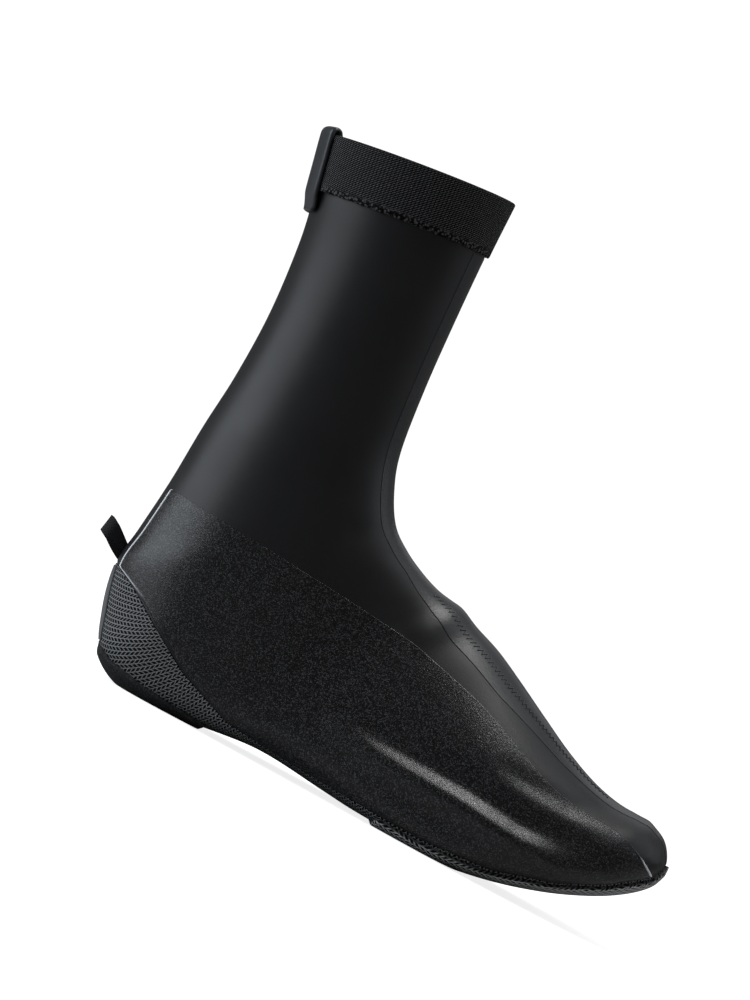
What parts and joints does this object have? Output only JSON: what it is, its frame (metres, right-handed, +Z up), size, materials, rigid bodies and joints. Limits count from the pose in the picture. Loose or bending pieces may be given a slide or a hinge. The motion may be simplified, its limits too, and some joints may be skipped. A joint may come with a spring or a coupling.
{
  "type": "cycling overshoe",
  "caption": "Tall slip-on cycling overshoe for a right foot: hollow coated sock with a woven grip sole, cleat opening, side films, elastic cuff with closure tab and heel pull loop.",
  "frame": {"origin": "on the floor under the middle of the heel, at the centre of the heel's flat spot", "axes": "+X towards the toe, +Y towards the inside of the foot, +Z up the shaft"},
  "size_m": [0.2981, 0.1048, 0.2749],
  "materials": {
    "laminate": "satin coated stretch fabric",
    "grip_mesh": "coarse woven grip mesh",
    "heel_rubber": "matte, finely napped",
    "film": "speckled satin film with glossy edges",
    "tape": "satin seam tape",
    "reflective": "grey reflective strip",
    "elastic": "twill-woven elastic",
    "moulded": "smooth moulded",
    "webbing": "ribbed webbing"
  },
  "bodies": {
    "root": {"upper": "laminate", "sole": "grip_mesh", "heel_patch": "heel_rubber", "forefoot_patch": "grip_mesh", "side_film_outer": "film", "side_film_inner": "film", "front_tape": "tape", "heel_reflector": "reflective", "cuff": "elastic", "closure_tab": "moulded", "pull_loop": "webbing"}
  },
  "joints": []
}
